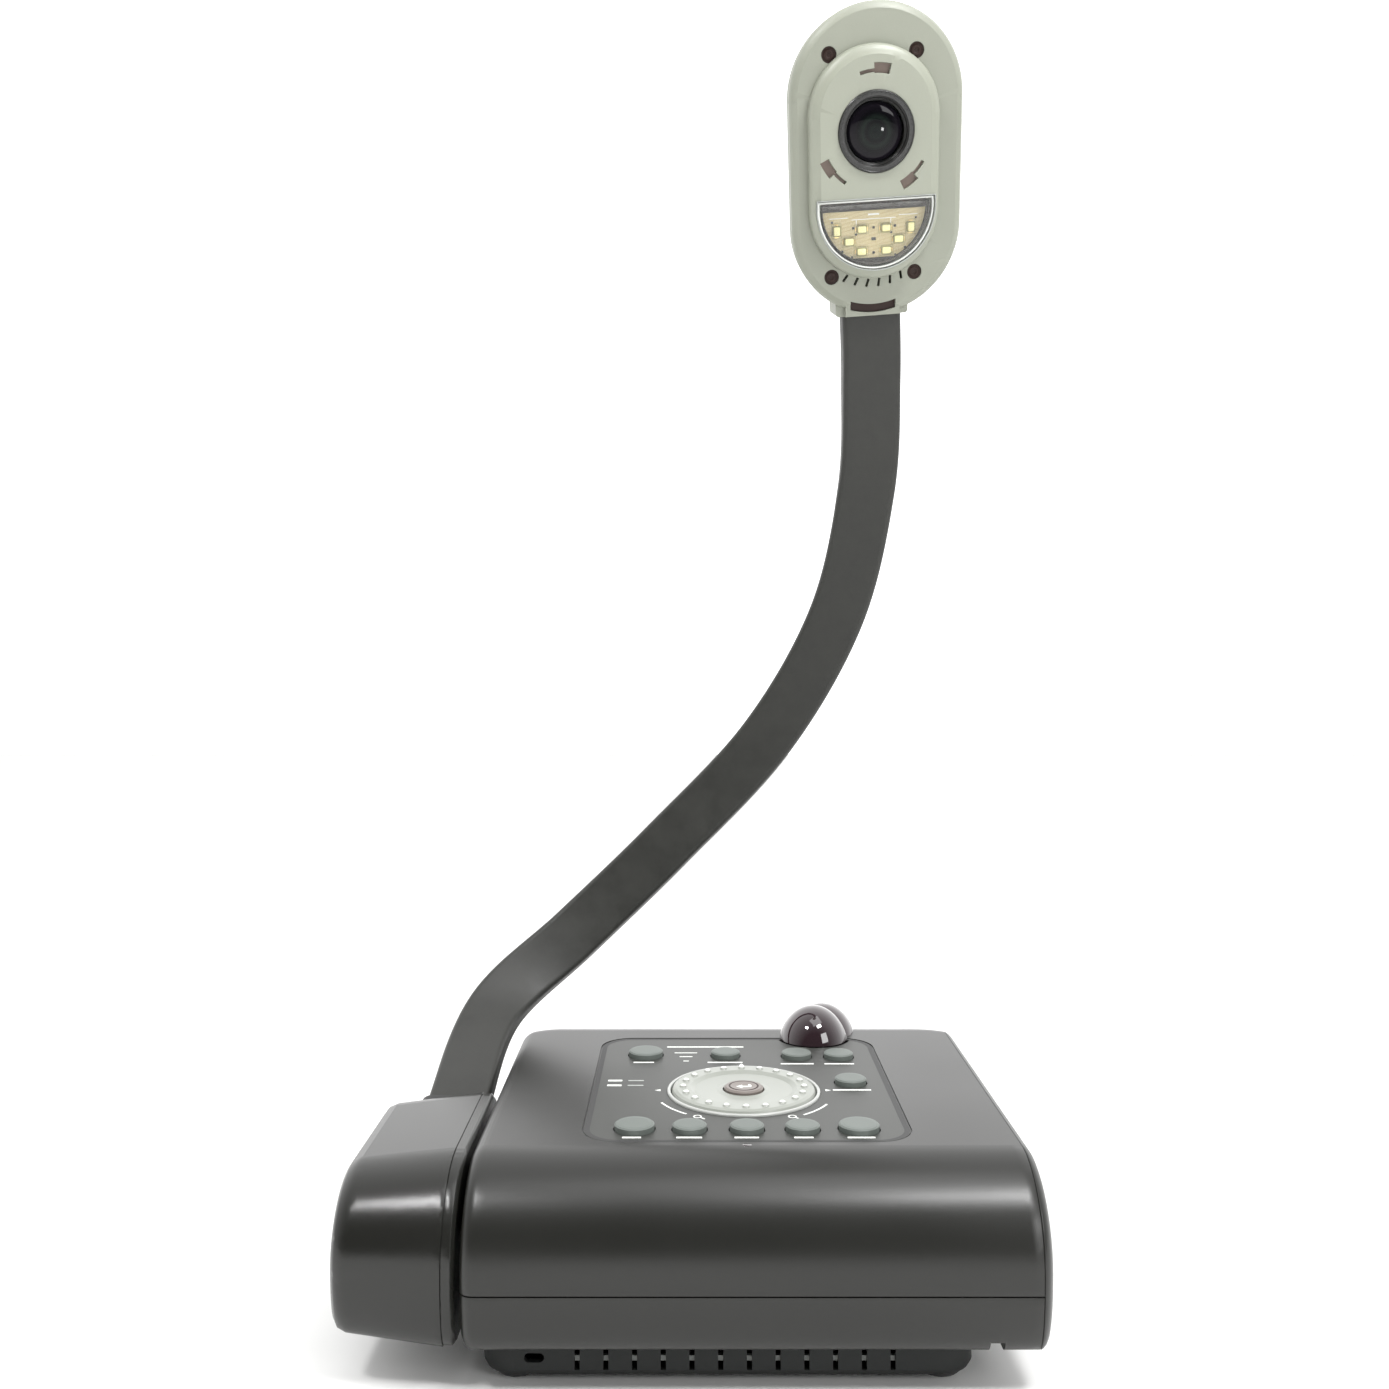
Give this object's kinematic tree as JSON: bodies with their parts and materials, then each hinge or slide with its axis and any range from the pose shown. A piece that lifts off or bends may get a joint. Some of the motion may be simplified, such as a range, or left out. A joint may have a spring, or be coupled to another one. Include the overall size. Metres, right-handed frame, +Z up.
{
  "type": "document camera",
  "caption": "Desktop document camera: control base with key panel and zoom wheel, side pod, flat bendable gooseneck arm and tilted oval head with lens and lamp window.",
  "frame": {"origin": "on the desk at the centre of the middle foot", "axes": "+Z up, +X to the right of the key panel, -Y towards the user"},
  "size_m": [0.2485, 0.2092, 0.5195],
  "materials": {
    "body_grey": "fine satin texture",
    "plinth_grey": "fine matt texture",
    "foot_rubber": "matt",
    "steel": "zinc plated",
    "board_green": "solder mask",
    "panel_grey": "printed film",
    "key_green": "soft touch",
    "wheel_white": "satin",
    "ring_silver": "satin",
    "enter_brown": "satin",
    "dome_smoke": "polished, dark infra-red pass",
    "black_plastic": "satin",
    "connector_metal": "nickel plated",
    "sleeve_rubber": "smooth satin",
    "core_steel": "wound steel",
    "head_sage": "fine satin texture",
    "lens_glass": "coated",
    "window_clear": "clear",
    "lamp_board_cream": "white solder mask",
    "led_yellow": "phosphor gel"
  },
  "bodies": {
    "base": {"upper_housing": "body_grey", "lower_housing": "body_grey", "side_cover": "body_grey", "vent_plinth": "plinth_grey", "feet": "foot_rubber", "ballast_plate": "steel", "housing_screws": "steel", "main_board": "board_green", "keypad_panel": "panel_grey", "key_board": "board_green", "key_switches": "black_plastic", "wheel_ring": "ring_silver", "wheel_bearing": "steel", "ir_dome": "dome_smoke", "ir_receiver": "black_plastic", "rear_panel": "black_plastic", "video_ports": "connector_metal", "audio_jacks": "black_plastic", "usb_ports": "connector_metal", "dc_jack": "black_plastic", "pod_shell": "body_grey", "pod_inner_cover": "body_grey", "exit_collar": "black_plastic", "arm_anchor": "steel", "arm_sleeve_1": "sleeve_rubber", "gooseneck_core_1": "core_steel"},
    "arm_link_2": {"arm_sleeve_2": "sleeve_rubber", "gooseneck_core_2": "core_steel"},
    "arm_link_3": {"arm_sleeve_3": "sleeve_rubber", "gooseneck_core_3": "core_steel"},
    "arm_link_4": {"arm_sleeve_4": "sleeve_rubber", "gooseneck_core_4": "core_steel"},
    "arm_link_5": {"arm_sleeve_5": "sleeve_rubber", "gooseneck_core_5": "core_steel"},
    "head": {"arm_sleeve_6": "sleeve_rubber", "gooseneck_core_6": "core_steel", "head_front_shell": "head_sage", "head_rear_shell": "head_sage", "neck_collar": "black_plastic", "lens_bezel": "head_sage", "lens_barrel": "black_plastic", "lens_glass": "lens_glass", "image_board": "board_green", "lamp_window": "window_clear", "lamp_board": "lamp_board_cream", "lamp_leds": "led_yellow", "head_plugs": "black_plastic"},
    "key_rotate_body": {"key_rotate": "key_green"},
    "key_menu_body": {"key_menu": "key_green"},
    "key_freeze_body": {"key_freeze": "key_green"},
    "key_split_body": {"key_split": "key_green"},
    "key_delete_body": {"key_delete": "key_green"},
    "key_power_body": {"key_power": "key_green"},
    "key_mode_body": {"key_mode": "key_green"},
    "key_record_body": {"key_record": "key_green"},
    "key_lamp_body": {"key_lamp": "key_green"},
    "key_autofocus_body": {"key_autofocus": "key_green"},
    "wheel": {"zoom_wheel": "wheel_white"},
    "enter": {"enter_button": "enter_brown"}
  },
  "joints": [
    {"name": "arm_pitch_1", "type": "hinge", "parent": "base", "child": "arm_link_2", "pos_m": [-0.09112, 0.07178, 0.08984], "axis": [0.9035, -0.2461, -0.351], "range_deg": [-30, 30]},
    {"name": "arm_sway_2", "type": "hinge", "parent": "arm_link_2", "child": "arm_link_3", "pos_m": [-0.04116, 0.10066, 0.13366], "axis": [-0.0898, -0.9654, 0.2448], "range_deg": [-24, 24]},
    {"name": "arm_pitch_3", "type": "hinge", "parent": "arm_link_3", "child": "arm_link_4", "pos_m": [0.01142, 0.10088, 0.18563], "axis": [0.6981, -0.1835, -0.6921], "range_deg": [-30, 30]},
    {"name": "arm_sway_4", "type": "hinge", "parent": "arm_link_4", "child": "arm_link_5", "pos_m": [0.05499, 0.08994, 0.24398], "axis": [-0.2096, -0.9664, -0.1487], "range_deg": [-24, 24]},
    {"name": "arm_pitch_5", "type": "hinge", "parent": "arm_link_5", "child": "head", "pos_m": [0.07813, 0.06888, 0.3149], "axis": [0.9827, -0.0853, -0.1646], "range_deg": [-30, 30]},
    {"name": "key_rotate_press", "type": "slide", "parent": "base", "child": "key_rotate_body", "axis": [0, 0, -1], "range_m": [0, 0.0008], "stiffness_N_per_m": 900},
    {"name": "key_menu_press", "type": "slide", "parent": "base", "child": "key_menu_body", "axis": [0, 0, -1], "range_m": [0, 0.0008], "stiffness_N_per_m": 900},
    {"name": "key_freeze_press", "type": "slide", "parent": "base", "child": "key_freeze_body", "axis": [0, 0, -1], "range_m": [0, 0.0008], "stiffness_N_per_m": 900},
    {"name": "key_split_press", "type": "slide", "parent": "base", "child": "key_split_body", "axis": [0, 0, -1], "range_m": [0, 0.0008], "stiffness_N_per_m": 900},
    {"name": "key_delete_press", "type": "slide", "parent": "base", "child": "key_delete_body", "axis": [0, 0, -1], "range_m": [0, 0.0008], "stiffness_N_per_m": 900},
    {"name": "key_power_press", "type": "slide", "parent": "base", "child": "key_power_body", "axis": [0, 0, -1], "range_m": [0, 0.0008], "stiffness_N_per_m": 900},
    {"name": "key_mode_press", "type": "slide", "parent": "base", "child": "key_mode_body", "axis": [0, 0, -1], "range_m": [0, 0.0008], "stiffness_N_per_m": 900},
    {"name": "key_record_press", "type": "slide", "parent": "base", "child": "key_record_body", "axis": [0, 0, -1], "range_m": [0, 0.0008], "stiffness_N_per_m": 900},
    {"name": "key_lamp_press", "type": "slide", "parent": "base", "child": "key_lamp_body", "axis": [0, 0, -1], "range_m": [0, 0.0008], "stiffness_N_per_m": 900},
    {"name": "key_autofocus_press", "type": "slide", "parent": "base", "child": "key_autofocus_body", "axis": [0, 0, -1], "range_m": [0, 0.0008], "stiffness_N_per_m": 900},
    {"name": "enter_press", "type": "slide", "parent": "base", "child": "enter", "axis": [0, 0, -1], "range_m": [0, 0.0008], "stiffness_N_per_m": 900},
    {"name": "wheel_turn", "type": "hinge", "parent": "base", "child": "wheel", "pos_m": [0.021, -0.007, 0.07], "axis": [0, 0, 1], "range_deg": [-25, 25], "stiffness_Nm_per_rad": 0.05}
  ]
}
